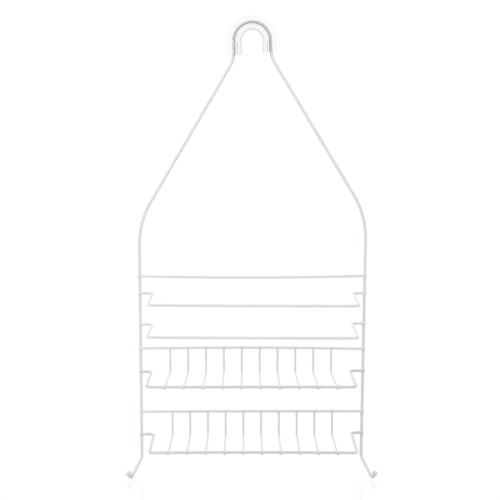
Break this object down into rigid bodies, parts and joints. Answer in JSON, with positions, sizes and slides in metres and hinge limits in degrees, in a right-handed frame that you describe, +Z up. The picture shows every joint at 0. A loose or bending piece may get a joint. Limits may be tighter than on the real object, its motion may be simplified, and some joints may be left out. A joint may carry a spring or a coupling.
{
  "type": "shower caddy",
  "caption": "Hanging shower caddy of white coated wire with an arch that hangs over the shower arm, accessory rails, open wire baskets and side hooks.",
  "frame": {"origin": "centre of the arch, on the shower arm's axis", "axes": "+X across the caddy, +Y towards the wall along the shower arm, +Z up"},
  "size_m": [0.2804, 0.0883, 0.5089],
  "materials": {
    "coated_wire": "steel wire in a thick white vinyl coat, soft gloss",
    "coated_rib_wire": "thin steel wire in the same white vinyl coat, soft gloss",
    "clear_plastic": "clear moulded plastic, glossy",
    "tip_plastic": "soft white plastic cap, gloss"
  },
  "bodies": {
    "root": {"frame_wire": "coated_wire", "top_cross_bar": "coated_wire", "upper_accessory_rail": "coated_wire", "lower_accessory_rail": "coated_wire", "upper_basket_rear_rail": "coated_wire", "upper_basket_rim": "coated_wire", "lower_basket_rear_rail": "coated_wire", "lower_basket_rim": "coated_wire", "upper_basket_rib_01": "coated_rib_wire", "upper_basket_rib_02": "coated_rib_wire", "upper_basket_rib_03": "coated_rib_wire", "upper_basket_rib_04": "coated_rib_wire", "upper_basket_rib_05": "coated_rib_wire", "upper_basket_rib_06": "coated_rib_wire", "upper_basket_rib_07": "coated_rib_wire", "upper_basket_rib_08": "coated_rib_wire", "upper_basket_rib_09": "coated_rib_wire", "upper_basket_rib_10": "coated_rib_wire", "lower_basket_rib_01": "coated_rib_wire", "lower_basket_rib_02": "coated_rib_wire", "lower_basket_rib_03": "coated_rib_wire", "lower_basket_rib_04": "coated_rib_wire", "lower_basket_rib_05": "coated_rib_wire", "lower_basket_rib_06": "coated_rib_wire", "lower_basket_rib_07": "coated_rib_wire", "lower_basket_rib_08": "coated_rib_wire", "lower_basket_rib_09": "coated_rib_wire", "lower_basket_rib_10": "coated_rib_wire", "shower_arm_saddle": "clear_plastic", "left_hook_tip": "tip_plastic", "right_hook_tip": "tip_plastic"}
  },
  "joints": []
}
